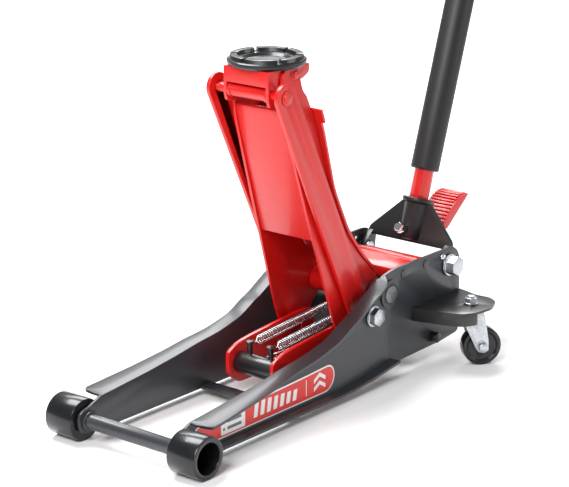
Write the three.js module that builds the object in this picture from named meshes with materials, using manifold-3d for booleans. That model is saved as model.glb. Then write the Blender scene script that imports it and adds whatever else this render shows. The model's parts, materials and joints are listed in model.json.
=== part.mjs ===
// Low-profile hydraulic trolley jack, shown raised. Millimetres, +Z up.
// X runs from the front rollers to the handle, Y across, and the floor is z = 0.
// "left" is the operator's left, the -Y side. Paired pieces are built on the +Y side and mirrored.
import * as THREE from 'three';
import { mergeVertices } from 'three/addons/utils/BufferGeometryUtils.js';
import Module from 'manifold-3d';

const wasm = await Module();
wasm.setup();

// ---------- driving dimensions ----------
const gap = 0.3;                    // between pieces that touch
const slack = 0.4;                  // radial clearance of a running fit
const plateInner = 80;              // side plate inner face, from the centre plane
const plateThick = 4;
const plateOuter = plateInner + plateThick;
const flangeFront = plateOuter + 35; // outer edge of the top flange at the front
const flangeRear = plateOuter + 20;  // and over the rear half
const rollerRadius = 30;
const rollerWide = 48.5;
const rollerInner = plateOuter + 3.5;
const rollerOuter = rollerInner + rollerWide;
const armLength = 390;              // main pivot to saddle pivot
const armLean = 63.8;               // degrees above the floor when raised
const mainPivot = { x: 460, z: 130.5 };
const linkOffset = { x: -39.5, z: -23.6 };   // link pivots from the arm pivots
const mainPinRadius = 13;
const armThick = 4.4;
const armTipHalf = 45.4;            // arm half-width over the plates at the saddle
const armBaseHalf = 56.6;           // and at the main pivot
const linkInner = 58;
const linkThick = 6;
const linkOuter = linkInner + linkThick;
const linkBoltRadius = 9;
const linkPinRadius = 7;
const saddlePinRadius = 8;
const bracketHalf = 40.3;
const bracketThick = 5;
const saddleRadius = 55.4;
const crossheadRadius = 16;
const crossheadHalf = 37.5;
const crosshead = { x: 267, z: 52 };
const drawInner = 38;
const drawThick = 6;
const drawPinRadius = 8;
const drawPin = { u: -34.3, v: -67.8 };      // draw pin on the arm, along and across it
const ramRadius = 25;
const ramFront = 376;
const ramRear = 504;
const rodRadius = 12;
const blockHalf = 36;
const yokePivot = { x: 610, z: 140 };
const yokeHalf = plateInner - 3;
const yokeBoltRadius = 9;
const handleLean = 18.5;            // degrees behind the vertical
const socketTop = { x: 645, z: 222 };        // top centre of the socket collar
const handleRadius = 15.2;
const handleLength = 900;
const castorSwivel = { x: 589, y: plateOuter + 56 };
const castorBracketTop = 95;
const castorWheelRadius = 29.5;
const castorWheelWidth = 19;
const castorTrail = 16.4;
const castorYaw = 37.6;             // how far each castor has swung outward, degrees

// ---------- colours ----------
const paint = (color, roughness, metalness) => new THREE.MeshStandardMaterial({ color, roughness, metalness });
const red = paint(0xd8201c, 0.35, 0.1);
const darkGrey = paint(0x4a4b4f, 0.5, 0.2);
const black = paint(0x1b1b1d, 0.5, 0.2);
const zinc = paint(0xb9bcc0, 0.35, 0.9);
const chrome = paint(0xdadcdf, 0.12, 1);
const castMetal = paint(0x5c5d5f, 0.6, 0.6);
const foam = paint(0x232325, 0.95, 0);
const wheelSteel = paint(0x3a3b3e, 0.5, 0.5);

// ---------- solids ----------
const degrees = THREE.MathUtils.degToRad;

function solid(geometry) {
  const bare = geometry.clone();
  bare.deleteAttribute('normal');
  bare.deleteAttribute('uv');
  const merged = mergeVertices(bare, 1e-4);
  const vertProperties = new Float32Array(merged.attributes.position.array);
  const triVerts = new Uint32Array(merged.index.array);
  return new wasm.Manifold(new wasm.Mesh({ numProp: 3, vertProperties, triVerts }));
}

function geometryOf(body) {
  const data = body.getMesh();
  const geometry = new THREE.BufferGeometry();
  geometry.setAttribute('position', new THREE.BufferAttribute(new Float32Array(data.vertProperties), 3));
  geometry.setIndex(new THREE.BufferAttribute(new Uint32Array(data.triVerts), 1));
  return geometry;
}

// A closed outline from corners [x, z, radius], with a curve at each corner that has a radius.
function outline(corners) {
  const shape = new THREE.Shape();
  corners.forEach(([x, z, radius = 0], i) => {
    const here = new THREE.Vector2(x, z);
    const before = corners[(i + corners.length - 1) % corners.length];
    const after = corners[(i + 1) % corners.length];
    const back = new THREE.Vector2(before[0], before[1]).sub(here);
    const on = new THREE.Vector2(after[0], after[1]).sub(here);
    const reach = Math.min(radius, back.length() * 0.49, on.length() * 0.49);
    const start = here.clone().addScaledVector(back.normalize(), reach);
    const end = here.clone().addScaledVector(on.normalize(), reach);
    if (i === 0) shape.moveTo(start.x, start.y);
    else shape.lineTo(start.x, start.y);
    if (reach > 0) shape.quadraticCurveTo(x, z, end.x, end.y);
  });
  shape.closePath();
  return shape;
}

// An outline in the XZ plane, extruded across from yFrom to yTo.
function acrossY(shape, yFrom, yTo, curveSegments = 2) {
  const geometry = new THREE.ExtrudeGeometry(shape, { depth: yTo - yFrom, bevelEnabled: false, curveSegments });
  geometry.rotateX(Math.PI / 2);
  geometry.translate(0, yTo, 0);
  return geometry;
}

// An outline in the XY plane, extruded up from zFrom to zTo.
function upward(shape, zFrom, zTo, curveSegments = 3) {
  const geometry = new THREE.ExtrudeGeometry(shape, { depth: zTo - zFrom, bevelEnabled: false, curveSegments });
  geometry.translate(0, 0, zFrom);
  return geometry;
}

function boxBetween(x0, x1, y0, y1, z0, z1) {
  const geometry = new THREE.BoxGeometry(x1 - x0, y1 - y0, z1 - z0);
  geometry.translate((x0 + x1) / 2, (y0 + y1) / 2, (z0 + z1) / 2);
  return solid(geometry);
}

function barY(x, z, radius, yFrom, yTo, sides = 20) {
  const geometry = new THREE.CylinderGeometry(radius, radius, yTo - yFrom, sides);
  geometry.translate(x, (yFrom + yTo) / 2, z);
  return solid(geometry);
}

function barZ(x, y, radius, zFrom, zTo, sides = 20) {
  const geometry = new THREE.CylinderGeometry(radius, radius, zTo - zFrom, sides);
  geometry.rotateX(Math.PI / 2);
  geometry.translate(x, y, (zFrom + zTo) / 2);
  return solid(geometry);
}

function barX(y, z, radius, xFrom, xTo, sides = 20) {
  const geometry = new THREE.CylinderGeometry(radius, radius, xTo - xFrom, sides);
  geometry.rotateZ(Math.PI / 2);
  geometry.translate((xFrom + xTo) / 2, y, z);
  return solid(geometry);
}

// A turned piece along Y from profile points [radius, y].
function turnedY(x, z, profile, sides = 32) {
  const geometry = new THREE.LatheGeometry(profile.map(([r, y]) => new THREE.Vector2(r, y)), sides);
  geometry.translate(x, 0, z);
  return solid(geometry);
}

// A turned piece along Z from profile points [radius, z].
function turnedZ(x, y, profile, sides = 32) {
  const geometry = new THREE.LatheGeometry(profile.map(([r, z]) => new THREE.Vector2(r, z)), sides);
  geometry.rotateX(Math.PI / 2);
  geometry.translate(x, y, 0);
  return solid(geometry);
}

function union(first, ...others) {
  return others.reduce((whole, piece) => whole.add(piece), first);
}

function cut(first, ...others) {
  return others.reduce((whole, piece) => whole.subtract(piece), first);
}

function mirrored(geometry) {
  const copy = geometry.clone();
  copy.scale(1, -1, 1);
  const index = copy.index.array;
  for (let i = 0; i < index.length; i += 3) {
    const second = index[i + 1];
    index[i + 1] = index[i + 2];
    index[i + 2] = second;
  }
  return copy;
}

const group = new THREE.Group();

function piece(name, body, material, parent = group) {
  const geometry = body.isBufferGeometry ? body : geometryOf(body);
  const mesh = new THREE.Mesh(geometry, material);
  mesh.name = name;
  parent.add(mesh);
  return mesh;
}

// The same piece on both sides: body is the +Y one.
function pair(name, body, material) {
  const geometry = geometryOf(body);
  piece(`${name}_right`, geometry, material);
  piece(`${name}_left`, mirrored(geometry), material);
}

// ---------- arm frame: u runs from the main pivot to the saddle pivot, v across it to the rear ----------
const armU = new THREE.Vector2(-Math.cos(degrees(armLean)), Math.sin(degrees(armLean)));
const armV = new THREE.Vector2(armU.y, -armU.x);
const armPoint = (u, v) => [mainPivot.x + u * armU.x + v * armV.x, mainPivot.z + u * armU.y + v * armV.y];
const alongArm = (x, z) => (x - mainPivot.x) * armU.x + (z - mainPivot.z) * armU.y;
const armCorners = (corners) => outline(corners.map(([u, v, r = 0]) => [...armPoint(u, v), r]));
const armHalf = (u) => armBaseHalf + (armTipHalf - armBaseHalf) * (u / armLength);
const [saddlePinX, saddlePinZ] = armPoint(armLength, 0);
const linkBolt = { x: mainPivot.x + linkOffset.x, z: mainPivot.z + linkOffset.z };
const linkPin = { x: saddlePinX + linkOffset.x, z: saddlePinZ + linkOffset.z };
const [drawPinX, drawPinZ] = armPoint(drawPin.u, drawPin.v);

// ---------- chassis: pressed side plates with flanges turned out at top and bottom ----------
const topLine = [
  [24, 60.5], [46, 62], [120, 69], [178, 76], [222, 83], [270, 88], [318, 99], [348, 115],
  [362, 120], [380, 130], [409, 146], [449, 162],
];
const bottomLine = [[64, 12], [340, 12], [400, 17], [466, 26.5]];
const axle = { x: 0, z: rollerRadius };
const axleRadius = 11;
const axleStub = 8;
const tieRod = { x: 570, z: 36, radius: 6 };
const rivets = [{ x: 550, z: 155 }, { x: 495, z: 153 }];
const rivetRadius = 7;
const coverBoltShank = 3.5;
const coverBolt = { x: 592, z: 156 };

function sidePlate() {
  const face = outline([
    ...topLine.map(([x, z], i) => [x, z, i === 0 ? 6 : 12]),
    [470, 166, 8], [623, 167, 20], [638, 150, 18], [638, 28, 9], [622, 26.5, 8], [589, 23, 8], [488, 21, 20],
    [400, 14, 20], [340, 11.5, 8], [30, 11.5, 20], [-20, 14, 14], [-20, 46, 16], [0, 50, 14],
  ]);
  const web = solid(acrossY(face, plateInner, plateOuter));
  const under = topLine.slice().reverse().map(([x, z]) => [x, z - plateThick, 12]);
  const strip = outline([...topLine.map(([x, z]) => [x, z, 12]), ...under]);
  const plan = outline([
    [22, plateInner, 0], [28, flangeFront, 9], [185, flangeRear + 5, 30], [300, flangeRear, 30],
    [432, flangeRear, 20], [452, plateInner, 6],
  ]);
  const topFlange = solid(acrossY(strip, plateOuter - 1, flangeFront + 5)).intersect(solid(upward(plan, 0, 200)));
  const lowUnder = bottomLine.slice().reverse().map(([x, z]) => [x, z + plateThick, 12]);
  const lowStrip = outline([...bottomLine.map(([x, z]) => [x, z, 12]), ...lowUnder]);
  const lowFlange = solid(acrossY(lowStrip, plateOuter - 1, flangeRear - 2));
  const pivotRing = barY(mainPivot.x, mainPivot.z, mainPinRadius + 9, plateOuter - 1, plateOuter + 3, 24);
  const holes = [
    barY(mainPivot.x, mainPivot.z, mainPinRadius + gap, 0, 200, 24),
    barY(linkBolt.x, linkBolt.z, linkBoltRadius + gap, 0, 200),
    barY(yokePivot.x, yokePivot.z, yokeBoltRadius + gap, 0, 200),
    barY(axle.x, axle.z, axleStub + gap, 0, 200),
    barY(tieRod.x, tieRod.z, tieRod.radius + gap, 0, 200),
    barY(coverBolt.x, coverBolt.z, coverBoltShank + gap, 0, 200, 16),
  ];
  const heads = rivets.map(({ x, z }) => barY(x, z, rivetRadius, plateOuter - 1, plateOuter + 1.6, 20));
  return cut(union(web, topFlange, lowFlange, pivotRing, ...heads), ...holes);
}
pair('side_plate', sidePlate(), darkGrey);

// ---------- cross members ----------
const between = plateInner - gap;
const collarWide = 4;
const rollerWall = 12;
const rollerNutFrom = rollerInner + rollerWall + gap;
piece('front_axle', union(
  barY(axle.x, axle.z, axleRadius, -between, between),
  barY(axle.x, axle.z, axleRadius + 4, between - collarWide, between),
  barY(axle.x, axle.z, axleRadius + 4, -between, -between + collarWide),
  barY(axle.x, axle.z, axleStub, -rollerNutFrom - 13, rollerNutFrom + 13),
), darkGrey);

const rollerBore = 22;
const rollerProfile = [
  [axleStub + slack, rollerInner], [rollerRadius - 2, rollerInner], [rollerRadius, rollerInner + 2],
  [rollerRadius, rollerOuter - 2], [rollerRadius - 2, rollerOuter], [rollerBore, rollerOuter],
  [rollerBore, rollerInner + rollerWall], [axleStub + slack, rollerInner + rollerWall],
  [axleStub + slack, rollerInner],
];
pair('front_roller', turnedY(axle.x, axle.z, rollerProfile, 24), castMetal);
pair('roller_nut', cut(
  barY(axle.x, axle.z, 14, rollerNutFrom, rollerNutFrom + 9, 6),
  barY(axle.x, axle.z, axleStub + gap, 0, 200),
), zinc);

const crossBar = { front: 226, rear: 251, low: 12, high: 16.5 };
piece('cross_bar', boxBetween(crossBar.front, crossBar.rear, -between, between, crossBar.low, crossBar.high), darkGrey);
piece('rear_tie_rod', union(
  barY(tieRod.x, tieRod.z, tieRod.radius, -plateOuter - 1, plateOuter + 1, 20),
  barY(tieRod.x, tieRod.z, tieRod.radius + 2, plateOuter + gap, plateOuter + 11),
  barY(tieRod.x, tieRod.z, tieRod.radius + 2, -plateOuter - 11, -plateOuter - gap),
), black);

// Pressed cover over the pump, with an embossed rib across it and a narrower tongue at the rear.
const cover = { front: 523, rear: 590, tongueRear: 600, z: 143, thick: 3, half: between - 2.2, tongueHalf: 58 };
function topCover() {
  const sheet = boxBetween(cover.front, cover.rear, -cover.half, cover.half, cover.z, cover.z + cover.thick);
  const tongue = boxBetween(cover.rear - 1, cover.tongueRear, -cover.tongueHalf, cover.tongueHalf,
    cover.z, cover.z + cover.thick);
  const rib = barY(cover.rear - 9, cover.z + 1, 6, -cover.half + 12, cover.half - 12, 20)
    .intersect(boxBetween(cover.front, cover.rear, -cover.half, cover.half, cover.z + 1, cover.z + 20));
  const lip = boxBetween(cover.front, cover.front + 3, -cover.half, cover.half, cover.z - 12, cover.z + 1);
  return union(sheet, tongue, rib, lip);
}
piece('top_cover', topCover(), red);

// Round-headed bolts through each side plate, with their shanks inside.
function headedPin(x, z, shank, head, tall, inner) {
  return turnedY(x, z, [
    [0, inner], [shank, inner], [shank, plateOuter + gap], [head, plateOuter + gap],
    [head, plateOuter + gap + tall * 0.4], [head * 0.6, plateOuter + gap + tall], [0, plateOuter + gap + tall],
  ], 20);
}
pair('cover_bolt', headedPin(coverBolt.x, coverBolt.z, coverBoltShank, 6, 4.5, plateInner - 1.5), chrome);

// ---------- pivots carried by the side plates ----------
const spacerFrom = armBaseHalf + 1;
piece('main_pivot_shaft', union(
  barY(mainPivot.x, mainPivot.z, mainPinRadius, -plateOuter - 4, plateOuter + 4, 24),
  barY(mainPivot.x, mainPivot.z, mainPinRadius + 5, spacerFrom, between, 24),
  barY(mainPivot.x, mainPivot.z, mainPinRadius + 5, -between, -spacerFrom, 24),
), zinc);

function hexBolt(x, z, shank, flats, head, inner) {
  const hex = turnedY(x, z, [[0, plateOuter + 3], [flats, plateOuter + 3], [flats, plateOuter + 3 + head],
    [0, plateOuter + 3 + head]], 6);
  const washer = barY(x, z, flats + 2, plateOuter + gap, plateOuter + 3.1, 28);
  return union(barY(x, z, shank, inner, plateOuter + 4), washer, hex);
}
const linkSpacer = barY(linkBolt.x, linkBolt.z, linkBoltRadius + 6, linkOuter + gap, between);
pair('link_bolt', hexBolt(linkBolt.x, linkBolt.z, linkBoltRadius, 14, 10, linkInner - 0.5).add(linkSpacer), zinc);
pair('yoke_bolt', hexBolt(yokePivot.x, yokePivot.z, yokeBoltRadius, 15.5, 15, yokeHalf - 12), black);

// ---------- hydraulic unit ----------
const ramFlange = 8;
const ramWall = 5;
const rodBore = rodRadius + slack;
const ramBore = ramRadius - ramWall;
const anchor = { x: 482, z: 98, thick: 5 };   // spring anchor standing on the rear of the cylinder
piece('ram_cylinder', cut(
  union(
    barX(0, crosshead.z, ramRadius + 5, ramFront, ramFront + ramFlange, 28),
    barX(0, crosshead.z, ramRadius, ramFront, ramRear, 28),
    boxBetween(anchor.x, anchor.x + anchor.thick, -30, 30, anchor.z - 9, anchor.z + 9),
    boxBetween(anchor.x, anchor.x + anchor.thick, -14, 14, crosshead.z + 20, anchor.z - 8),
  ),
  barX(0, crosshead.z, rodBore, ramFront - 1, ramFront + ramFlange + 1),
  barX(0, crosshead.z, ramBore, ramFront + ramFlange, ramRear - 6, 28),
), black);

const shellRadius = ramRadius + 5;
const shellFrom = ramFront + ramFlange + gap;
piece('oil_reservoir', cut(
  barX(0, crosshead.z, shellRadius, shellFrom, anchor.x - gap, 28),
  barX(0, crosshead.z, shellRadius - 2, shellFrom - 1, ramRear + 1, 28),
), darkGrey);

const block = { front: ramRear + gap, rear: 556, low: 24, high: 126 };
const plungerZ = yokePivot.z - 28;
const plungerRadius = 7;
const trunnion = { x: 543, z: 60, radius: 9 };
function pumpBlock() {
  const body = boxBetween(block.front, block.rear, -blockHalf, blockHalf, block.low, block.high);
  const spigot = barX(0, plungerZ, plungerRadius + 5, block.rear - 1, block.rear + 10);
  const trunnions = barY(trunnion.x, trunnion.z, trunnion.radius, -between, between);
  return cut(union(body, spigot, trunnions), barX(0, plungerZ, plungerRadius + slack, block.rear - 36, block.rear + 11));
}
piece('pump_block', pumpBlock(), castMetal);
piece('filler_plug', turnedZ(524, 18, [[0, block.high + gap], [7, block.high + gap], [7, block.high + 5],
  [0, block.high + 5]], 6), zinc);

const valve = { y: 0, z: 62, radius: 5 };
piece('release_valve_stem', union(
  barX(valve.y, valve.z, valve.radius, block.rear + gap, block.rear + 34, 20),
  barX(valve.y, valve.z, valve.radius + 4, block.rear + 22, block.rear + 34, 6),
), zinc);

// Springs from the crosshead posts back to an anchor on the ram cylinder.
const springY = 19.5;
const springRadius = 7.2;
const postTop = 88;
const springFrom = { x: crosshead.x + 8, z: postTop - 5 };

function springBody(y) {
  const geometry = new THREE.CylinderGeometry(springRadius, springRadius, 1, 14);
  const to = new THREE.Vector3(anchor.x - 2, y, anchor.z);
  const from = new THREE.Vector3(springFrom.x, y, springFrom.z);
  const along = to.clone().sub(from);
  geometry.scale(1, along.length(), 1);
  geometry.applyQuaternion(new THREE.Quaternion().setFromUnitVectors(new THREE.Vector3(0, 1, 0), along.normalize()));
  geometry.translate((to.x + from.x) / 2, y, (to.z + from.z) / 2);
  return solid(geometry);
}
pair('return_spring', springBody(springY), zinc);

// ---------- crosshead, pushed forward by the ram to raise the arm ----------
const stubRadius = 9;
const drawOuter = drawInner + drawThick;
const springPost = (y) => turnedZ(crosshead.x, y, [
  [0, crosshead.z], [4, crosshead.z], [4, postTop - 4], [7.5, postTop - 3], [7, postTop - 1], [4, postTop],
  [0, postTop],
], 20);
piece('crosshead_shaft', union(
  barY(crosshead.x, crosshead.z, crossheadRadius, -crossheadHalf, crossheadHalf, 24),
  barY(crosshead.x, crosshead.z, stubRadius, -drawOuter - 4, drawOuter + 4),
  springPost(springY),
  springPost(-springY),
), black);

function drawPlate() {
  const slotHalf = drawPinRadius + 2;
  const face = outline([
    [242, 40, 4], [242, 72, 6], [265, 82, 10], [296, 86, 10], [396, 94, 10], [436, 94, 14], [438, 30, 14],
    [394, 22, 14], [262, 21, 10],
  ]);
  const slot = outline([
    [drawPinX - slotHalf, drawPinZ + slotHalf, 8], [drawPinX + slotHalf, drawPinZ + slotHalf, 8],
    [drawPinX + slotHalf, drawPinZ - 16 - slotHalf, 8], [drawPinX - slotHalf, drawPinZ - 16 - slotHalf, 8],
  ]);
  return cut(
    solid(acrossY(face, drawInner, drawOuter)),
    barY(crosshead.x, crosshead.z, stubRadius + gap, 0, 100),
    solid(acrossY(slot, 0, 100)),
  );
}
pair('draw_plate', drawPlate(), red);

const rodFrom = crosshead.x + crossheadRadius + gap;
const pistonFrom = ramFront + ramFlange + 3;
piece('piston_rod', union(
  barX(0, crosshead.z, rodRadius, rodFrom, pistonFrom + 10),
  barX(0, crosshead.z, ramBore - slack, pistonFrom, pistonFrom + 10, 28),
), chrome);

// ---------- lift arm: two tapering side plates, a front web, a rear cover and a hub ----------
function flare(geometry) {
  const at = geometry.attributes.position;
  for (let i = 0; i < at.count; i += 1) {
    at.setY(i, at.getY(i) + armHalf(alongArm(at.getX(i), at.getZ(i))));
  }
  return geometry;
}

const frontEdge = [[348, -48], [268, -60], [149, -77], [82.5, -87.5], [5, -98]];
const rearEdge = [[322, 7], [290, 4], [199, -13.6], [121, -13.3], [69, -2], [12, 16.5]];
// The tip is rounded about its pin, so that it turns under the level saddle.
const tipRadius = 9.8;
const tipArc = [26, 45, 63, 82, 100.5].map((angle) => [
  armLength + tipRadius * Math.cos(degrees(angle)), tipRadius * Math.sin(degrees(angle)),
]);
function armPlate() {
  const face = armCorners([
    [398, -26, 12], [408, -14.5, 6], ...tipArc, [363, 4.6], [356, 5.2, 3], [350, 7.5, 3],
    ...rearEdge.map(([u, v]) => [u, v, 16]), [-24, 16, 18], [-24, -16, 14], [-44, -44, 14], [-54, -72, 16],
    [-30, -94, 20], ...frontEdge.slice().reverse().map(([u, v]) => [u, v, 20]),
  ]);
  const plate = solid(flare(acrossY(face, -armThick, 0)));
  const drawStub = union(
    barY(drawPinX, drawPinZ, drawPinRadius, drawInner - 1, armBaseHalf - 1),
    barY(drawPinX, drawPinZ, drawPinRadius + 4, drawOuter + gap, armBaseHalf - 2),
  );
  return cut(
    union(plate, drawStub),
    barY(mainPivot.x, mainPivot.z, mainPinRadius + slack, 0, 100, 24),
    barY(saddlePinX, saddlePinZ, saddlePinRadius + gap, 0, 100),
  );
}
pair('arm_plate', armPlate(), red);

// A plate across the arm from an outline along it, as wide as halfAt(u) on each side.
function acrossArm(corners, halfAt) {
  const geometry = acrossY(armCorners(corners), -1, 1, 4);
  const at = geometry.attributes.position;
  for (let i = 0; i < at.count; i += 1) {
    at.setY(i, at.getY(i) * halfAt(alongArm(at.getX(i), at.getZ(i))));
  }
  return solid(geometry);
}

const innerHalf = (u) => armHalf(u) - armThick - gap;
const webRecess = 2.5;
const webTop = 357;
const webFoot = 152;
const webThick = 5;
piece('arm_web', acrossArm([
  [webTop, -45 + webRecess], [348, -48 + webRecess], [268, -60 + webRecess], [webFoot, -76.5 + webRecess],
  [webFoot, -76.5 + webRecess + webThick], [268, -60 + webRecess + webThick], [348, -48 + webRecess + webThick],
  [webTop, -45 + webRecess + webThick],
], innerHalf), red);

// The rear cover lies on the plates' rear edges. Its head is wider, over the tops of the links.
const coverThick = 4;
const coverLift = gap + 0.6;
const coverLine = [[24, 13], [69, -2], [121, -13.3], [199, -13.6], [290, 4], [326, 7.4]];
const headLine = [[304, 5.4], [326, 7.4]];
const coverBand = (line, half) => acrossArm([
  ...line.map(([u, v]) => [u, v + coverLift, 14]),
  ...line.slice().reverse().map(([u, v]) => [u, v + coverLift + coverThick, 14]),
], () => half);
piece('arm_rear_cover', coverBand(coverLine, linkInner - 0.6).add(coverBand(headLine, 63)), red);

const hubRadius = mainPinRadius + 6;
const hubHalf = innerHalf(0) - 0.6;
piece('arm_hub', cut(
  barY(mainPivot.x, mainPivot.z, hubRadius, -hubHalf, hubHalf, 24),
  barY(mainPivot.x, mainPivot.z, mainPinRadius + slack, -100, 100, 24),
), red);

const saddlePinEnd = armTipHalf + 0.5;
pair('saddle_pin', turnedY(saddlePinX, saddlePinZ, [
  [0, bracketHalf - bracketThick - 2], [saddlePinRadius, bracketHalf - bracketThick - 2],
  [saddlePinRadius, saddlePinEnd], [6, saddlePinEnd], [6, saddlePinEnd + 2.5], [4, saddlePinEnd + 3.5],
  [0, saddlePinEnd + 3.5],
], 24), chrome);

// ---------- levelling links, parallel to the arm ----------
function link() {
  const bottom = new THREE.Vector2(linkBolt.x, linkBolt.z);
  const top = new THREE.Vector2(linkPin.x, linkPin.z);
  const length = top.distanceTo(bottom);
  const bottomRadius = 22;
  const topRadius = 20;
  const lean = Math.asin((bottomRadius - topRadius) / length);
  const face = new THREE.Shape();
  face.absarc(0, 0, bottomRadius, Math.PI / 2 - lean, -Math.PI / 2 + lean + 2 * Math.PI, false);
  face.absarc(length, 0, topRadius, -Math.PI / 2 + lean, Math.PI / 2 - lean, false);
  const geometry = acrossY(face, linkInner, linkOuter, 12);
  const angle = Math.atan2(top.y - bottom.y, top.x - bottom.x);
  geometry.rotateY(-angle);
  geometry.translate(bottom.x, 0, bottom.y);
  return cut(
    solid(geometry),
    barY(linkBolt.x, linkBolt.z, linkBoltRadius + slack, 0, 100),
    barY(linkPin.x, linkPin.z, linkPinRadius + slack, 0, 100),
  );
}
pair('levelling_link', link(), red);

// ---------- saddle bracket, kept level by the links ----------
const bracketTop = saddlePinZ + 10;
const bracketSheet = 4;
const bracketFront = saddlePinX - 49.8;
const bracketRear = saddlePinX + 38.2;
const saddleCentreX = saddlePinX - 5.4;
function saddleBracket() {
  const face = outline([
    [bracketFront, bracketTop, 0], [bracketRear, bracketTop, 2], [bracketRear, bracketTop - 12, 4],
    [saddlePinX + 25.2, saddlePinZ - 9, 8], [saddlePinX - 9.8, saddlePinZ - 15, 10],
    [saddlePinX - 24.8, linkPin.z - 18, 12],
    [bracketFront, linkPin.z - 18, 14],
  ]);
  const outer = solid(acrossY(face, -bracketHalf, bracketHalf));
  const inside = boxBetween(bracketFront + bracketSheet, bracketRear + 1, -bracketHalf + bracketThick, bracketHalf - bracketThick,
    0, bracketTop - bracketSheet);
  const chin = boxBetween(bracketFront - 1, bracketFront + bracketSheet + 1, -bracketHalf + bracketThick,
    bracketHalf - bracketThick, 0, linkPin.z + 12);
  return cut(
    outer,
    inside,
    chin,
    barY(saddlePinX, saddlePinZ, saddlePinRadius + slack, -100, 100),
    barY(linkPin.x, linkPin.z, linkPinRadius + gap, -100, 100),
    barZ(saddleCentreX, 0, stemRadius + slack, 0, 600),
  );
}
const stemRadius = 9;
piece('saddle_bracket', saddleBracket(), red);

const sleeveHalf = bracketHalf - bracketThick - gap;
piece('cross_sleeve', cut(
  union(
    barY(linkPin.x, linkPin.z, linkPinRadius + 2.5, -sleeveHalf, sleeveHalf),
    barY(linkPin.x, linkPin.z, linkPinRadius + 4, sleeveHalf - 5, sleeveHalf),
    barY(linkPin.x, linkPin.z, linkPinRadius + 4, -sleeveHalf, -sleeveHalf + 5),
  ),
  barY(linkPin.x, linkPin.z, linkPinRadius + gap, -100, 100),
), red);
const clipOn = linkOuter + gap;
piece('link_pin', union(
  barY(linkPin.x, linkPin.z, linkPinRadius, -linkOuter - 4, linkOuter + 4, 24),
  barY(linkPin.x, linkPin.z, linkPinRadius + 3.5, clipOn, clipOn + 1.5, 28),
  barY(linkPin.x, linkPin.z, linkPinRadius + 3.5, -clipOn - 1.5, -clipOn, 28),
), chrome);

// Cast saddle: dished disc with raised blocks round its rim, turning on a stem through the bracket.
const saddleLow = bracketTop + 0.5;
function saddle() {
  const disc = turnedZ(saddleCentreX, 0, [
    [0, saddleLow], [saddleRadius - 3, saddleLow], [saddleRadius, saddleLow + 3], [saddleRadius, saddleLow + 7.5],
    [saddleRadius - 2, saddleLow + 9], [34, saddleLow + 9], [30, saddleLow + 5], [0, saddleLow + 4],
  ], 40);
  const rim = turnedZ(saddleCentreX, 0, [
    [40, saddleLow + 8], [52, saddleLow + 8], [51, saddleLow + 14.5], [41, saddleLow + 14.5], [40, saddleLow + 8],
  ], 40);
  const notchCount = 6;
  let blocks = rim;
  for (let i = 0; i < notchCount / 2; i += 1) {
    const notch = new THREE.BoxGeometry(2 * saddleRadius, 6, 12);
    notch.rotateZ((i * 2 * Math.PI) / notchCount);
    notch.translate(saddleCentreX, 0, saddleLow + 15.4);
    blocks = blocks.subtract(solid(notch));
  }
  const stem = barZ(saddleCentreX, 0, stemRadius, bracketTop - bracketSheet - 2.5, saddleLow + 1);
  return union(disc, blocks, stem);
}
piece('saddle', saddle(), castMetal);

// ---------- swivelling rear castors on welded brackets ----------
const bracketLow = castorBracketTop - 4;
const swivelBolt = 6;
function castorBracket() {
  const plan = outline([
    [516, gap, 0], [527, 44, 10], [538, 76, 10], [556, 86, 10], [593, 91, 10], [622, 79, 10],
    [633, 58, 14], [629, 40, 10], [640, gap, 0],
  ].map(([x, out, r]) => [x, plateOuter + out, r]));
  const inset = outline([
    [522, -2, 0], [532, 42, 10], [542, 73, 10], [560, 82, 10], [660, 82, 0], [660, -2, 0],
  ].map(([x, out, r]) => [x, plateOuter + out, r]));
  const sheet = solid(upward(plan, bracketLow, castorBracketTop));
  const rim = solid(upward(plan, castorBracketTop - 20, bracketLow + 1)).subtract(solid(upward(inset, 0, 200)));
  const front = boxBetween(500, 562, plateOuter, plateOuter + 120, 0, 200);
  return cut(
    union(sheet, rim.intersect(front)),
    barZ(castorSwivel.x, castorSwivel.y, swivelBolt + gap, 0, 200),
  );
}
pair('castor_bracket', castorBracket(), black);

const raceThick = 5;
const raceLow = bracketLow - gap - raceThick;
const stemLow = raceLow - 10;
pair('castor_bolt', union(
  turnedZ(castorSwivel.x, castorSwivel.y, [
    [0, raceLow], [19, raceLow], [21, raceLow + 2], [21, raceLow + raceThick], [0, raceLow + raceThick],
  ]),
  barZ(castorSwivel.x, castorSwivel.y, swivelBolt, stemLow, castorBracketTop + 13),
  barZ(castorSwivel.x, castorSwivel.y, swivelBolt + 5, castorBracketTop + gap, castorBracketTop + 2.5),
  barZ(castorSwivel.x, castorSwivel.y, swivelBolt + 4, castorBracketTop + 2, castorBracketTop + 10, 6),
  barZ(castorSwivel.x, castorSwivel.y, swivelBolt + 3, stemLow - 3, stemLow + 1, 20),
), zinc);

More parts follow.
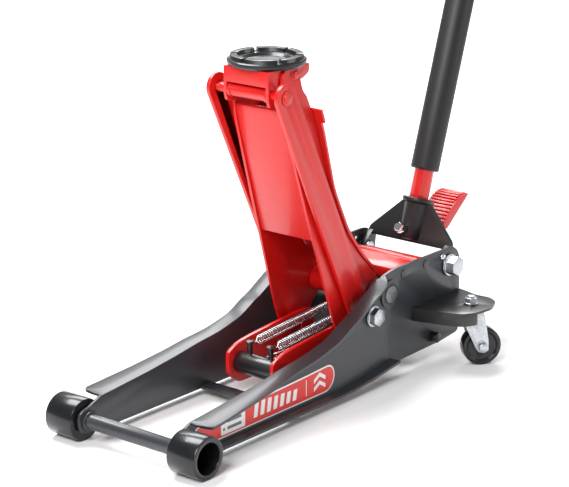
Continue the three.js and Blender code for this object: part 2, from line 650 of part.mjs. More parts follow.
// The fork is drawn about its swivel axis, trailing along +x, then turned and set in place.
const crownTop = raceLow - gap;
const crownLow = crownTop - 4;
const wheelZ = castorWheelRadius;
const forkInner = castorWheelWidth / 2 + 1.5;
const forkThick = 3;
function castorFork() {
  const crown = boxBetween(-15, 17, -forkInner - forkThick, forkInner + forkThick, crownLow, crownTop);
  const cheek = outline([
    [-15, crownTop, 4], [17, crownTop, 4], [castorTrail + 9, wheelZ + 4, 10], [castorTrail + 7, wheelZ - 9, 7],
    [castorTrail - 8, wheelZ - 9, 7], [-14, crownLow - 12, 10],
  ]);
  const outer = solid(acrossY(cheek, forkInner, forkInner + forkThick));
  const inner = solid(acrossY(cheek, -forkInner - forkThick, -forkInner));
  return cut(
    union(crown, outer, inner),
    barZ(0, 0, swivelBolt + slack, 0, 200),
    barY(castorTrail, wheelZ, 4 + gap, -100, 100),
  );
}
function castorWheel() {
  const half = castorWheelWidth / 2;
  const hub = forkInner - gap;
  return turnedY(castorTrail, wheelZ, [
    [4 + slack, -hub], [9, -hub], [11, -half + 3], [22, -half + 3], [24, -half], [castorWheelRadius, -half],
    [castorWheelRadius, half], [24, half], [22, half - 3], [11, half - 3], [9, hub], [4 + slack, hub],
    [4 + slack, -hub],
  ], 28);
}
const castorAxle = () => union(
  barY(castorTrail, wheelZ, 4, -forkInner - forkThick - 5, forkInner + forkThick + 5, 20),
  barY(castorTrail, wheelZ, 8, forkInner + forkThick + gap, forkInner + forkThick + 5, 6),
  barY(castorTrail, wheelZ, 8, -forkInner - forkThick - 5, -forkInner - forkThick - gap, 6),
);
const castorParts = [
  ['castor_fork', castorFork(), zinc],
  ['castor_wheel', castorWheel(), wheelSteel],
  ['castor_axle', castorAxle(), zinc],
];
for (const [side, sign] of [['right', 1], ['left', -1]]) {
  const castor = new THREE.Group();
  castor.position.set(castorSwivel.x, sign * castorSwivel.y, 0);
  castor.rotation.z = sign * degrees(castorYaw);
  group.add(castor);
  for (const [name, body, material] of castorParts) piece(`${name}_${side}`, body, material, castor);
}

// ---------- handle socket: forked yoke, face plate and flared collar ----------
const lean = degrees(handleLean);
const handleFrame = new THREE.Group();
handleFrame.position.set(socketTop.x, 0, socketTop.z);
handleFrame.rotation.y = lean;
group.add(handleFrame);

// In the handle frame z runs up the handle from the collar's top, and the yoke pivot is at pivotIn.
const pivotIn = new THREE.Vector3(yokePivot.x - socketTop.x, 0, yokePivot.z - socketTop.z)
  .applyAxisAngle(new THREE.Vector3(0, 1, 0), -lean);
const yokeThick = 9;
const cheekThick = 9;
const collarRadius = 24.5;
const collarDeep = 58;
const yokeFloor = pivotIn.z + 20;
const socketBore = handleRadius + 0.6;
const rollerArm = 28;
const cheekInner = yokeHalf - cheekThick;
const rollerPinIn = new THREE.Vector3(0, 0, -rollerArm).applyAxisAngle(new THREE.Vector3(0, 1, 0), -lean).add(pivotIn);

function handleYoke() {
  const face = new THREE.ExtrudeGeometry(outline([
    [-yokeHalf, yokeFloor, 3], [-yokeHalf, yokeFloor + 12, 6], [-46, yokeFloor + 42, 14], [-20, -2, 8], [20, -2, 8],
    [46, yokeFloor + 42, 14], [yokeHalf, yokeFloor + 12, 6], [yokeHalf, yokeFloor, 3],
  ]), { depth: yokeThick, bevelEnabled: false, curveSegments: 5 });
  face.rotateX(Math.PI / 2);
  face.rotateZ(Math.PI / 2);
  face.translate(-yokeThick / 2, 0, 0);
  const collar = turnedZ(0, 0, [
    [0, -collarDeep - 8], [collarRadius - 7, -collarDeep - 6], [collarRadius - 5, -collarDeep],
    [collarRadius - 5, -9], [collarRadius - 1, -7], [collarRadius, -5.5], [collarRadius, -1.5],
    [collarRadius - 1.5, 0], [0, 0],
  ], 28);
  const cheek = outline([
    [pivotIn.x - 15, pivotIn.z - 2, 12], [-yokeThick / 2, yokeFloor + 8, 4], [yokeThick / 2, yokeFloor + 8, 4],
    [pivotIn.x + 17, pivotIn.z - 4, 12], [rollerPinIn.x + 10, rollerPinIn.z - 4, 8],
    [rollerPinIn.x - 4, rollerPinIn.z - 10, 8], [rollerPinIn.x - 12, rollerPinIn.z, 8],
  ]);
  const cheeks = [acrossY(cheek, cheekInner, yokeHalf), acrossY(cheek, -yokeHalf, -cheekInner)].map(solid);
  const lugs = [-1, 1].map((s) => boxBetween(0, pedalPin.x + 6, s * 26 - 3, s * 26 + 3, pedalPin.z - 7, pedalPin.z + 7));
  return cut(
    union(solid(face), collar, ...cheeks, ...lugs),
    barZ(0, 0, socketBore, -collarDeep - 2, 10, 24),
    barY(pivotIn.x, pivotIn.z, yokeBoltRadius + slack, -100, 100),
    barY(rollerPinIn.x, rollerPinIn.z, 4 + gap, -100, 100),
    barX(0, screwZ, screwRadius + gap, -100, 0, 20),
  ).add(barY(pedalPin.x, pedalPin.z, 4, -30, 30, 20));
}
const screwZ = -50;
const screwRadius = 5;
const pedalPin = { x: 29, z: yokeFloor + 14 };
piece('handle_yoke', handleYoke(), black, handleFrame);
piece('pump_roller_pin', union(
  barY(rollerPinIn.x, rollerPinIn.z, 4, -yokeHalf, yokeHalf, 20),
  barY(rollerPinIn.x, rollerPinIn.z, 8, -14, 14, 28),
), zinc, handleFrame);
piece('locking_screw', union(
  barX(0, screwZ, screwRadius, -collarRadius - 8, -handleRadius - 0.8, 20),
  barX(0, screwZ, screwRadius + 3.5, -collarRadius - 13, -collarRadius - 3, 6),
), chrome, handleFrame);

// Foot pedal hinged behind the yoke: a crescent pad that rises to the rear, ribbed across its curved face.
const pedalHalf = 24;
const pedalRibs = 12;
const pedalCurve = [[45.6, -32.2], [54.1, -13.5], [65.8, 5.1], [80, 17.7], [98, 22.2]];
const pedalHeel = { x: 57.6, z: -39.8 };
function pedal() {
  const pad = outline([...pedalCurve.map(([x, z], i) => [x, z, i % 4 ? 8 : 0]), [pedalHeel.x, pedalHeel.z, 4]]);
  const spine = new THREE.CatmullRomCurve3(pedalCurve.map(([x, z]) => new THREE.Vector3(x, 0, z)));
  const ribs = [];
  for (let i = 0; i < pedalRibs; i += 1) {
    const at = spine.getPointAt(0.04 + (0.88 * i) / (pedalRibs - 1));
    ribs.push(barY(at.x, at.z, 2, -pedalHalf + 2, pedalHalf - 2, 8));
  }
  const neck = outline([
    [pedalPin.x, pedalPin.z - 5, 0], [pedalHeel.x - 3, pedalHeel.z + 2, 0], [pedalHeel.x - 8, pedalHeel.z + 13, 0],
    [pedalPin.x, pedalPin.z + 5, 0],
  ]);
  const knuckle = barY(pedalPin.x, pedalPin.z, 8, -pedalHalf + 1.5, pedalHalf - 1.5, 24);
  const body = union(
    solid(acrossY(pad, -pedalHalf, pedalHalf)),
    ...ribs,
    solid(acrossY(neck, -pedalHalf + 1.5, pedalHalf - 1.5)),
    knuckle,
  );
  return cut(body, barY(pedalPin.x, pedalPin.z, 4 + slack, -60, 60));
}
piece('foot_pedal', pedal(), red, handleFrame);

// ---------- handle: faceted tube, foam sleeve, grip and end cap ----------
const tubeFrom = -collarDeep;
const sleeveFrom = 44;
const sleeveTo = 330;
const sleeveRadius = 22;
const gripRadius = 19.5;
const gripFrom = handleLength - 130;
const tubeBore = handleRadius - 2;
piece('handle_tube', cut(
  barZ(0, 0, handleRadius, tubeFrom, handleLength, 12),
  barZ(0, 0, tubeBore, tubeFrom - 1, handleLength + 1, 24),
), red, handleFrame);
const ringAlong = (inner, outer, from, to) => [[inner, from], [outer - 2, from], [outer, from + 2], [outer, to - 2],
  [outer - 2, to], [inner, to], [inner, from]];
piece('foam_sleeve', turnedZ(0, 0, ringAlong(handleRadius + gap, sleeveRadius, sleeveFrom, sleeveTo), 24), foam, handleFrame);
piece('handle_grip', turnedZ(0, 0, [
  [handleRadius + gap, gripFrom], [gripRadius - 2, gripFrom], [gripRadius, gripFrom + 2],
  [gripRadius, handleLength + 3], [gripRadius - 2, handleLength + 6], [0, handleLength + 6], [0, handleLength + gap], [handleRadius + gap, handleLength + gap],
  [handleRadius + gap, gripFrom],
], 24), foam, handleFrame);

// ---------- pump plunger, pushed in by the yoke's roller ----------
const plungerRear = yokePivot.x - 8 - 1.6;
piece('pump_plunger', union(
  barX(0, plungerZ, plungerRadius, block.rear - 10, plungerRear, 24),
  barX(0, plungerZ, plungerRadius + 5, plungerRear - 5, plungerRear, 24),
), chrome);

// ---------- origin at the middle of the footprint, on the floor ----------
const whole = new THREE.Box3().setFromObject(group);
group.position.x = -(whole.min.x + whole.max.x) / 2;
group.position.z = -whole.min.z;

export default group;
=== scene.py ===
import json
import math
import bpy
from mathutils import Matrix, Vector


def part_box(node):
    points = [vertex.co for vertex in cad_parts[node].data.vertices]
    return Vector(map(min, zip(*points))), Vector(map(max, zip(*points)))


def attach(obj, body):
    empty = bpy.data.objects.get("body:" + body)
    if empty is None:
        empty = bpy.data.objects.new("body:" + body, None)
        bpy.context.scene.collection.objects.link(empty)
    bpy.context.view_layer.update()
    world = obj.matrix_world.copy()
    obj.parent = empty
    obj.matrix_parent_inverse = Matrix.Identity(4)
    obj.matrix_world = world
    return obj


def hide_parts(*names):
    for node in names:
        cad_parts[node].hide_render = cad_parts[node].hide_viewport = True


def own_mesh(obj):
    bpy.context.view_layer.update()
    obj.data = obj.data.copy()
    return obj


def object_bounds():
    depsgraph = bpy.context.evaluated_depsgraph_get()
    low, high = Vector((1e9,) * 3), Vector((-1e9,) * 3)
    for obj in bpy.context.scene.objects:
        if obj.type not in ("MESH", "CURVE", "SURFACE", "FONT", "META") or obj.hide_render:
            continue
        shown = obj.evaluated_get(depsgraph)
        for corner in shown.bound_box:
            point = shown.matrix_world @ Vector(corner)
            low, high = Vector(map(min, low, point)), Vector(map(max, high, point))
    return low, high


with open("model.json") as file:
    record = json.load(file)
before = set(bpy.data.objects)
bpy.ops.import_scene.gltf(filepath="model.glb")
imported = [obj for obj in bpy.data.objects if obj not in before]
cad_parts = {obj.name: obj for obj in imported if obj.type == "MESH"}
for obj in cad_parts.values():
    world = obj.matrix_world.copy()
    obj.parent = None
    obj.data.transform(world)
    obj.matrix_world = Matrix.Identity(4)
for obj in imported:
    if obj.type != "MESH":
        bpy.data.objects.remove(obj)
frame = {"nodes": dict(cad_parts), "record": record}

cad_bounds = [list(corner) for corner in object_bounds()]


# ---- Side plates ----
# The chassis is two mirrored plates of 4 mm pressed steel with flanges turned out at top and bottom.
# They are finished in a dark grey powder coat. Each is the frame's own plate with its sharp arrises
# broken by a small radius, as pressing and coating leave them.
mm = 0.001


def linear(text):
    """An sRGB hex colour as linear red, green, blue, alpha."""
    parts = [int(text[i:i + 2], 16) / 255 for i in (0, 2, 4)]
    return [c / 12.92 if c <= 0.04045 else ((c + 0.055) / 1.055) ** 2.4 for c in parts] + [1.0]


def add_node(tree, kind, settings=None, **links):
    """Adds one node; a link is an input's name with another node's output, or a plain value."""
    node = tree.nodes.new(kind)
    for name, value in (settings or {}).items():
        setattr(node, name, value)
    for name, value in links.items():
        socket = node.inputs[name]
        if isinstance(value, bpy.types.NodeSocket):
            tree.links.new(value, socket)
        else:
            socket.default_value = value
    return node


def new_material(name, base, roughness, metallic, coat=0.0):
    """A material with plain surface values; returns it, its node tree and its shader."""
    made = bpy.data.materials.new(name)
    made.use_nodes = True
    shader = made.node_tree.nodes["Principled BSDF"]
    shader.inputs["Base Color"].default_value = linear(base)
    shader.inputs["Roughness"].default_value = roughness
    shader.inputs["Metallic"].default_value = metallic
    shader.inputs["Coat Weight"].default_value = coat
    shader.inputs["Coat Roughness"].default_value = 0.12
    return made, made.node_tree, shader


def grain(tree, shader, size, height, detail=3.0):
    """Raised grain of one real size in metres, as a bump on the shader's normal; returns the noise node."""
    place = add_node(tree, "ShaderNodeTexCoord")
    noise = add_node(tree, "ShaderNodeTexNoise",
                     Vector=place.outputs["Object"], Scale=1 / size, Detail=detail)
    bump = add_node(tree, "ShaderNodeBump", Height=noise.outputs["Fac"], Distance=height, Strength=0.6)
    tree.links.new(bump.outputs["Normal"], shader.inputs["Normal"])
    return noise


def tinted(tree, shader, noise, dark, light):
    """Lets the base colour drift between two hex colours with the noise."""
    ramp = add_node(tree, "ShaderNodeValToRGB", Fac=noise.outputs["Fac"])
    ramp.color_ramp.elements[0].position = 0.3
    ramp.color_ramp.elements[0].color = linear(dark)
    ramp.color_ramp.elements[1].position = 0.7
    ramp.color_ramp.elements[1].color = linear(light)
    tree.links.new(ramp.outputs["Color"], shader.inputs["Base Color"])


# Satin powder coat: a fine orange-peel grain, drawn at 2 mm so that it shows as a soft sparkle.
powder_coat, tree, shader = new_material("grey_powder_coat", "303136", 0.36, 0.15, coat=0.15)
tinted(tree, shader, grain(tree, shader, 2 * mm, 0.05 * mm), "2C2D32", "34363A")


def only(obj):
    """Selects one object and makes it active."""
    bpy.ops.object.select_all(action="DESELECT")
    obj.select_set(True)
    bpy.context.view_layer.objects.active = obj


def finish_piece(obj, body, look, record_slot, *nodes):
    """Gives a piece its material and its body and hides the frame nodes that it stands for; record_slot is
    not used.
    """
    obj.data.materials.clear()
    obj.data.materials.append(look)
    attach(obj, body)
    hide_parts(*nodes)
    return obj


def eased(node, look, record_slot, width=0.6, angle=28, segments=2):
    """A copy of a frame node with its facets joined into faces and its sharp edges rounded, in mm."""
    source = frame["nodes"][node]
    only(source)
    bpy.ops.object.duplicate()
    piece = bpy.context.view_layer.objects.active
    piece.name = node + "_piece"
    bpy.ops.object.mode_set(mode="EDIT")
    bpy.ops.mesh.select_all(action="SELECT")
    bpy.ops.mesh.remove_doubles(threshold=0.00001)
    bpy.ops.mesh.dissolve_limited(angle_limit=math.radians(1))
    bpy.ops.object.mode_set(mode="OBJECT")
    bevel = piece.modifiers.new("eased edges", "BEVEL")
    bevel.width = width * mm
    bevel.segments = segments
    bevel.limit_method = "ANGLE"
    bevel.angle_limit = math.radians(angle)
    bevel.harden_normals = False
    bevel.use_clamp_overlap = True
    bpy.ops.object.modifier_apply(modifier=bevel.name)
    bpy.ops.object.shade_smooth_by_angle(angle=math.radians(angle + 4))
    return finish_piece(piece, node_body[node], look, record_slot, node)


node_body = {node: body for body, nodes in frame["record"]["behaviour"]["bodies"].items() for node in nodes}
for side in ("left", "right"):
    eased("side_plate_" + side, powder_coat, "grey_powder_coat", width=0.9, segments=3)


# ---- Side label ----
# A printed vinyl label on the left plate: a red band with a white edge, a white data panel and
# plain marks where the maker's printing would be. It is stuck on, a tenth of a millimetre thick.
shift = cad_bounds[0][0] / mm + 30
plate_face = -84.0


def sticker(name, corners, radius, proud, look):
    """A flat label piece from corners (x, z) in mm, with rounded corners, standing proud of the plate."""
    points = []
    for i, corner in enumerate(corners):
        here = Vector(corner)
        back = Vector(corners[i - 1]) - here
        on = Vector(corners[(i + 1) % len(corners)]) - here
        start = here + back.normalized() * min(radius, back.length / 2)
        end = here + on.normalized() * min(radius, on.length / 2)
        for step in range(7):
            t = step / 6
            points.append(start * (1 - t) ** 2 + here * 2 * t * (1 - t) + end * t * t)
    curve = bpy.data.curves.new(name, "CURVE")
    curve.dimensions = "2D"
    curve.fill_mode = "BOTH"
    curve.extrude = 0.05 * mm
    line = curve.splines.new("POLY")
    line.points.add(len(points) - 1)
    line.use_cyclic_u = True
    for at, point in zip(line.points, points):
        at.co = ((point.x + shift) * mm, point.y * mm, 0, 1)
    label = bpy.data.objects.new(name, curve)
    bpy.context.collection.objects.link(label)
    only(label)
    bpy.ops.object.convert(target="MESH")
    label = bpy.context.view_layer.objects.active
    turn = Matrix.Rotation(math.radians(90), 4, "X")
    label.data.transform(Matrix.Translation((0, (plate_face - proud) * mm, 0)) @ turn)
    label.data.materials.clear()
    label.data.materials.append(look)
    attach(label, "chassis")


# Printed vinyl: flat colour under a thin gloss film.
label_white, tree, shader = new_material("white_label_vinyl", "F1F1F0", 0.35, 0.0, coat=0.3)
grain(tree, shader, 5 * mm, 0.01 * mm, detail=1.0)
label_red, tree, shader = new_material("red_label_vinyl", "E2231C", 0.35, 0.0, coat=0.3)
grain(tree, shader, 5 * mm, 0.01 * mm, detail=1.0)
label_grey, tree, shader = new_material("grey_label_ink", "6B6D70", 0.4, 0.0)
grain(tree, shader, 5 * mm, 0.01 * mm, detail=1.0)
sticker("label_edge", [(30, 19), (318, 21), (331, 34), (331, 50), (322, 61), (262, 58), (30, 50)],
        10, 0.1, label_white)
sticker("label_band", [(32, 21), (317, 23), (329, 35), (329, 49), (321, 58.6), (262, 55.6), (32, 48)],
        9, 0.2, label_red)
sticker("label_data", [(84, 23.5), (134, 23.9), (134, 51.6), (84, 49.9)], 2, 0.3, label_white)
for row in range(2):
    low = 29 + 10 * row
    sticker("label_data_line", [(97, low), (126, low), (126, low + 4.5), (97, low + 4.5)], 1, 0.4, label_grey)
    sticker("label_data_dot", [(88, low), (92, low), (92, low + 4.5), (88, low + 4.5)], 2, 0.4, label_grey)
for bar in range(7):
    left = 152 + 14 * bar
    sticker("label_bar", [(left, 29), (left + 8, 29), (left + 11, 51 - bar), (left + 3, 51 - bar)],
            1, 0.3, label_white)
sticker("label_rule", [(266, 28), (267.4, 28), (267.4, 52), (266, 52)], 0.4, 0.3, label_white)
for row in range(2):
    low = 29 + 12 * row
    chevron = [(284, low), (297, low + 8), (310, low), (310, low + 6), (297, low + 14), (284, low + 6)]
    sticker("label_arrow", chevron, 1, 0.3, label_white)


# ---- Cross members ----
# The front axle tube, the flat cross bar and the rear tie rod hold the two side plates apart.
# They are mild steel, welded in and coated with the plates; the tie rod's nuts are black.
eased("front_axle", powder_coat, "grey_powder_coat", width=0.8)
eased("cross_bar", powder_coat, "grey_powder_coat", width=0.8)

# Black stoving paint: nearly flat, with a faint waviness about 6 mm across from the spray.
black_paint, tree, shader = new_material("black_stoving_paint", "101113", 0.36, 0.0, coat=0.3)
tinted(tree, shader, grain(tree, shader, 6 * mm, 0.05 * mm, detail=1.0), "0E0F10", "151618")
eased("rear_tie_rod", black_paint, "black_paint", width=0.8)


# ---- Front rollers ----
# Two broad turned rollers with a deep counterbore on the outside, spinning on the axle's ends.
# They are machined steel, blackened, and each is held by a hexagon nut deep in its bore.
def ringed(name, rings, axis, centre, sides=72, closed=False):
    """A turned piece: a circle extruded and resized ring by ring, rings being (radius, height) in mm."""
    bpy.ops.object.select_all(action="DESELECT")
    radius, height = rings[0]
    bpy.ops.mesh.primitive_circle_add(vertices=sides, radius=radius * mm, fill_type="NOTHING",
                                      location=(0, 0, height * mm))
    piece = bpy.context.view_layer.objects.active
    piece.name = name
    bpy.ops.object.transform_apply(location=True, rotation=True, scale=True)
    bpy.ops.object.mode_set(mode="EDIT")
    bpy.ops.mesh.select_all(action="SELECT")
    if not closed:
        bpy.ops.mesh.edge_face_add()
        bpy.ops.mesh.select_all(action="SELECT")
    for wide, high in rings[1:]:
        bpy.ops.mesh.extrude_region_move(TRANSFORM_OT_translate={"value": (0, 0, (high - height) * mm)})
        factor = wide / radius
        bpy.ops.transform.resize(value=(factor, factor, 1), center_override=(0, 0, high * mm))
        radius, height = wide, high
    bpy.ops.mesh.select_all(action="SELECT")
    bpy.ops.mesh.remove_doubles(threshold=0.000001)
    bpy.ops.mesh.normals_make_consistent(inside=False)
    bpy.ops.object.mode_set(mode="OBJECT")
    turn = Vector((0, 0, 1)).rotation_difference(Vector(axis))
    piece.data.transform(Matrix.Translation(Vector(centre)) @ turn.to_matrix().to_4x4())
    bpy.ops.object.shade_smooth_by_angle(angle=math.radians(32))
    return piece


def middle(node):
    """The middle of a frame node's box."""
    low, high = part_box(node)
    return (Vector(low) + Vector(high)) / 2


def reach(node):
    """The size of a frame node's box in mm."""
    low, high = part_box(node)
    return (Vector(high) - Vector(low)) / mm


# Turned and blackened steel: an uneven oiled tone with a grain drawn at 1.5 mm so that it shows.
blackened, tree, shader = new_material("blackened_turned_steel", "1B1C1F", 0.28, 0.5, coat=0.3)
tinted(tree, shader, grain(tree, shader, 1.5 * mm, 0.02 * mm), "18191B", "212226")

# Bright zinc plate: cool grey metal with a faintly cloudy passivated film a few millimetres across.
zinc_plate, tree, shader = new_material("bright_zinc_plate", "BFC2C6", 0.3, 0.95)
tinted(tree, shader, grain(tree, shader, 3 * mm, 0.02 * mm, detail=2.0), "A9ACB1", "C9CCD0")

stub_bore = 8.4
counterbore = 22
web_thick = 12
for side, way in (("left", -1), ("right", 1)):
    node = "front_roller_" + side
    size = reach(node)
    radius, wide = size.z / 2, size.y
    rings = [
        (stub_bore, 0), (radius - 2, 0), (radius - 0.6, 0.5), (radius, 2), (radius, wide - 2),
        (radius - 0.6, wide - 0.5), (radius - 2, wide), (counterbore + 1.5, wide),
        (counterbore + 0.4, wide - 0.5), (counterbore, wide - 1.5), (counterbore, web_thick),
        (stub_bore, web_thick), (stub_bore, 0),
    ]
    low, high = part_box(node)
    inner = high.y if way < 0 else low.y
    centre = middle(node)
    roller = ringed(node + "_piece", rings, (0, way, 0), (centre.x, inner, centre.z), sides=96, closed=True)
    finish_piece(roller, "roller_" + side, blackened, "cast_iron", node)
    # The nut takes the blackened steel instead of its zinc plate: painted shade standing for the darkness
    # deep in the bore.
    eased("roller_nut_" + side, blackened, "zinc_plate", width=0.8)


# ---- Pivots in the side plates ----
# The arm turns on a shaft as thick as a thumb, the levelling links on two hexagon bolts, and the
# handle yoke on two larger ones. The shaft is turned steel left bare, and the bolts are plated.
# Bare turned steel: a dull mid grey with a cloudy oxide film a few millimetres across.
bare_steel, tree, shader = new_material("bare_turned_steel", "77797C", 0.42, 0.85)
tinted(tree, shader, grain(tree, shader, 4 * mm, 0.03 * mm, detail=3.0), "66686B", "84868A")
eased("main_pivot_shaft", bare_steel, "zinc_plate", width=1.0)
for side in ("left", "right"):
    eased("link_bolt_" + side, zinc_plate, "zinc_plate", width=0.9)
    eased("yoke_bolt_" + side, zinc_plate, "zinc_plate", width=1.2, segments=3)


# ---- Top cover and its bolts ----
# A red pressed-steel lid over the pump, stiffened by one rib across it and held by small chromed
# round-head bolts through the side plates.
# Red stoved enamel: an even gloss with the faintest waviness, 8 mm across, under a clear hard skin.
red_enamel, tree, shader = new_material("red_stoved_enamel", "C8120E", 0.36, 0.0, coat=0.3)
tinted(tree, shader, grain(tree, shader, 8 * mm, 0.06 * mm, detail=1.0), "C5110E", "CC130E")
eased("top_cover", red_enamel, "red_paint", width=1.0, segments=3)

# Chrome plate: a mirror with only a trace of haze.
chrome_plate, tree, shader = new_material("chrome_plate", "DCDEE0", 0.12, 1.0)
grain(tree, shader, 12 * mm, 0.02 * mm, detail=1.0)
for side in ("left", "right"):
    eased("cover_bolt_" + side, chrome_plate, "chrome_plate", width=0.8)


# ---- Hydraulic unit ----
# A cast pump block with the ram cylinder and its oil tank in front of it, the release valve's stem
# behind and a filler plug on top. The casting is left rough; cylinder and tank are painted.
# Sand-cast iron: a coarse matt grain about 2.5 mm across with a dark oily tone.
cast_iron, tree, shader = new_material("sand_cast_iron", "3A3B3D", 0.55, 0.6)
tinted(tree, shader, grain(tree, shader, 2.5 * mm, 0.25 * mm, detail=5.0), "2E2F31", "484A4C")
eased("pump_block", cast_iron, "cast_iron", width=1.5, segments=3)
eased("ram_cylinder", black_paint, "black_paint", width=0.8)
eased("oil_reservoir", powder_coat, "grey_powder_coat", width=0.5)
eased("filler_plug", zinc_plate, "zinc_plate", width=0.6)
eased("release_valve_stem", zinc_plate, "zinc_plate", width=0.6)
eased("pump_plunger", chrome_plate, "chrome_plate", width=0.6)


# ---- Crosshead ----
# A black cross shaft pushed by the chromed piston rod, with two red draw plates that pull the arm
# and two mushroom-headed posts that hold the return springs.
eased("crosshead_shaft", black_paint, "black_paint", width=0.8)
eased("piston_rod", chrome_plate, "chrome_plate", width=0.6)
for side in ("left", "right"):
    eased("draw_plate_" + side, red_enamel, "red_paint", width=1.2, segments=3)


# ---- Return springs ----
# Two extension springs of 1.9 mm zinc-plated wire, hooked over the crosshead's posts and into an
# anchor on the cylinder. Stretched as the arm is up, their turns stand a little apart.
wire = 1.9 * mm
pitch = 4.6 * mm


def coil_points(start, end, radius):
    """Points of a helix between two ends, with a straight tail at each end."""
    along = end - start
    length = along.length
    ahead = along.normalized()
    up = ahead.cross(Vector((0, 1, 0))).normalized()
    out = ahead.cross(up)
    margin = 9 * mm
    turns = int((length - 2 * margin) / pitch)
    steps = 14
    points = [start, start + ahead * margin * 0.6]
    for step in range(turns * steps + 1):
        angle = 2 * math.pi * step / steps
        place = start + ahead * (margin + pitch * step / steps)
        points.append(place + (up * math.cos(angle) + out * math.sin(angle)) * radius)
    return points + [end - ahead * margin * 0.6, end]


# Drawn and plated wire: brighter and smoother than the plated fittings.
spring_wire, tree, shader = new_material("plated_spring_wire", "D5D7DA", 0.22, 1.0)
tinted(tree, shader, grain(tree, shader, 2 * mm, 0.01 * mm, detail=1.0), "C3C6CA", "DFE1E4")
for side in ("left", "right"):
    node = "return_spring_" + side
    low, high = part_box(node)
    across = (low.y + high.y) / 2
    outer = (high.y - low.y) / 2
    start = Vector((low.x + 2 * mm, across, low.z + outer))
    end = Vector((high.x - 2 * mm, across, high.z - outer))
    points = coil_points(start, end, outer - wire / 2)
    curve = bpy.data.curves.new(node + "_wire", "CURVE")
    curve.dimensions = "3D"
    curve.bevel_depth = wire / 2
    curve.bevel_resolution = 2
    line = curve.splines.new("POLY")
    line.points.add(len(points) - 1)
    for at, point in zip(line.points, points):
        at.co = (*point, 1)
    spring = bpy.data.objects.new(node + "_piece", curve)
    bpy.context.collection.objects.link(spring)
    only(spring)
    curve.use_fill_caps = True
    bpy.ops.object.convert(target="MESH")
    spring = bpy.context.view_layer.objects.active
    bpy.ops.object.shade_smooth()
    finish_piece(spring, "chassis", spring_wire, "zinc_plate", node)
    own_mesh(spring)


# ---- Lift arm ----
# Two tapering side plates of 4.4 mm steel with a web across the front, a lid across the back, and
# a hub on the main pivot. All of it is welded up and enamelled red.
for side in ("left", "right"):
    eased("arm_plate_" + side, red_enamel, "red_paint", width=1.2, segments=3)
    eased("saddle_pin_" + side, red_enamel, "red_paint", width=0.8)
eased("arm_web", red_enamel, "red_paint", width=1.0)
eased("arm_rear_cover", red_enamel, "red_paint", width=1.2, segments=3)
eased("arm_hub", red_enamel, "red_paint", width=0.6)


# ---- Levelling links ----
# A flat bar with round ends on each side keeps the saddle level as the arm swings.
# They are flame-cut steel, enamelled with the arm.
for side in ("left", "right"):
    eased("levelling_link_" + side, red_enamel, "red_paint", width=1.1, segments=3)


# ---- Saddle bracket ----
# A folded red bracket that hangs between the arm plates on two pins, with a sleeve across its foot
# and a link pin through the sleeve, held by a ring at each end and enamelled over with the rest.
eased("saddle_bracket", red_enamel, "red_paint", width=1.4, segments=3)
eased("cross_sleeve", red_enamel, "red_paint", width=0.8)
eased("link_pin", red_enamel, "red_paint", width=0.6)


# ---- Saddle ----
# A cast dished disc with a ring of raised blocks that grip the load, free to turn on its stem.
# The casting is blackened all over.
# Blackened casting: a smooth dark skin with a low sheen, its grain 2.5 mm across.
black_cast, tree, shader = new_material("blackened_casting", "1E1F21", 0.32, 0.35, coat=0.3)
tinted(tree, shader, grain(tree, shader, 2.5 * mm, 0.08 * mm, detail=4.0), "18191B", "26282A")
eased("saddle", black_cast, "cast_iron", width=1.2, segments=3)


# ---- Castors ----
# Each rear castor hangs from a black bracket welded to its side plate: a plated race and bolt, a
# plated fork that swivels, and a dark steel wheel on a bolt.
for side in ("left", "right"):
    eased("castor_bracket_" + side, black_paint, "black_paint", width=1.0, segments=3)
    eased("castor_bolt_" + side, zinc_plate, "zinc_plate", width=0.7)
    eased("castor_fork_" + side, zinc_plate, "zinc_plate", width=0.8)
    eased("castor_axle_" + side, zinc_plate, "zinc_plate", width=0.7)
    eased("castor_wheel_" + side, blackened, "wheel_steel", width=1.0)


# ---- Handle socket ----
# A black casting: a fork that turns on the two large bolts, a triangular face plate and a flared
# collar that takes the handle. A chromed screw locks the handle, and a pin drives the pump.
# Cast steel under black paint: the casting's grain, 2 mm across, still shows through the film.
black_casting, tree, shader = new_material("black_painted_casting", "131416", 0.42, 0.0, coat=0.2)
tinted(tree, shader, grain(tree, shader, 2 * mm, 0.15 * mm, detail=4.0), "0F1012", "1A1B1D")
eased("handle_yoke", black_casting, "black_paint", width=1.4, segments=3)
eased("locking_screw", chrome_plate, "chrome_plate", width=0.8)
eased("pump_roller_pin", zinc_plate, "zinc_plate", width=0.6)


# ---- Foot pedal ----
# A red crescent pad behind the socket with ribs across its curved face, pressed with one foot to
# bring the saddle up quickly. It is a steel casting, enamelled with the arm.
eased("foot_pedal", red_enamel, "red_paint", width=1.0, segments=3)


# ---- Handle ----
# A red tube with twelve flats, in a black foam sleeve that keeps it off bodywork, with a foam
# grip pushed on at the top.
eased("handle_tube", red_enamel, "red_paint", width=0.8, angle=25)

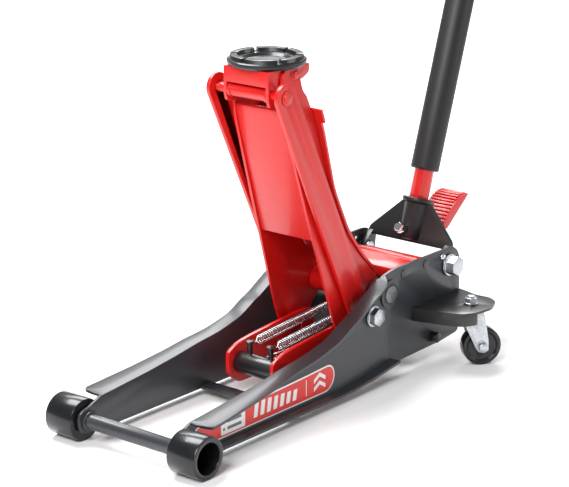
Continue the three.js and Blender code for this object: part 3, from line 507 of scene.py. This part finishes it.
# Closed-cell foam: soft black skin with a low sheen and pores about 1.5 mm across.
foam, tree, shader = new_material("closed_cell_foam", "131315", 0.5, 0.0)
tinted(tree, shader, grain(tree, shader, 1.5 * mm, 0.12 * mm, detail=4.0), "0F0F11", "18181A")
eased("foam_sleeve", foam, "foam_rubber", width=1.5, segments=3)
eased("handle_grip", foam, "foam_rubber", width=1.0)


# ---- Floor, light and camera ----
# A pale floor that runs far past the view, a broad soft key from the front left, a fill from the
# right, a large panel overhead and one over the floor behind.
bpy.ops.object.select_all(action="DESELECT")
bpy.ops.mesh.primitive_plane_add(size=30, location=(0, 0, 0))
floor = bpy.context.view_layer.objects.active
floor.name = "floor"
pale_floor, tree, shader = new_material("pale_floor", "EDEDED", 0.7, 0.0)
floor.data.materials.append(pale_floor)


def panel(name, place, aim, size, power):
    """A square soft light of one size in metres, facing a point."""
    lamp = bpy.data.lights.new(name, "AREA")
    lamp.shape = "SQUARE"
    lamp.size = size
    lamp.energy = power
    lamp_object = bpy.data.objects.new(name, lamp)
    lamp_object.location = place
    lamp_object.rotation_mode = "QUATERNION"
    lamp_object.rotation_quaternion = (Vector(aim) - Vector(place)).to_track_quat("-Z", "Y")
    bpy.context.collection.objects.link(lamp_object)


panel("key", (-2.6, -0.6, 2.2), (0, 0, 0.25), 1.4, 100)
panel("fill", (1.6, -2.8, 1.4), (0, 0, 0.2), 1.6, 30)
panel("overhead", (-0.2, 1.3, 2.8), (0, 0, 0.1), 1.5, 115)
panel("background", (3.4, 2.8, 3.2), (3.4, 2.8, 0), 3.2, 260)
world = bpy.data.worlds.new("studio")
world.use_nodes = True
world.node_tree.nodes["Background"].inputs["Color"].default_value = linear("F2F3F5")
world.node_tree.nodes["Background"].inputs["Strength"].default_value = 0.32
bpy.context.scene.world = world
bpy.context.scene.view_settings.view_transform = "Standard"

target = Vector((-0.0743, 0.0535, 0.1985))
back = Vector((-0.7405, -0.6083, 0.2857))
lens = bpy.data.cameras.new("camera")
lens.sensor_width = 36
lens.lens = 139.3
camera = bpy.data.objects.new("camera", lens)
camera.location = target + back * 3.223
camera.rotation_mode = "QUATERNION"
camera.rotation_quaternion = (-back).to_track_quat("-Z", "Y")
bpy.context.collection.objects.link(camera)
bpy.context.scene.camera = camera
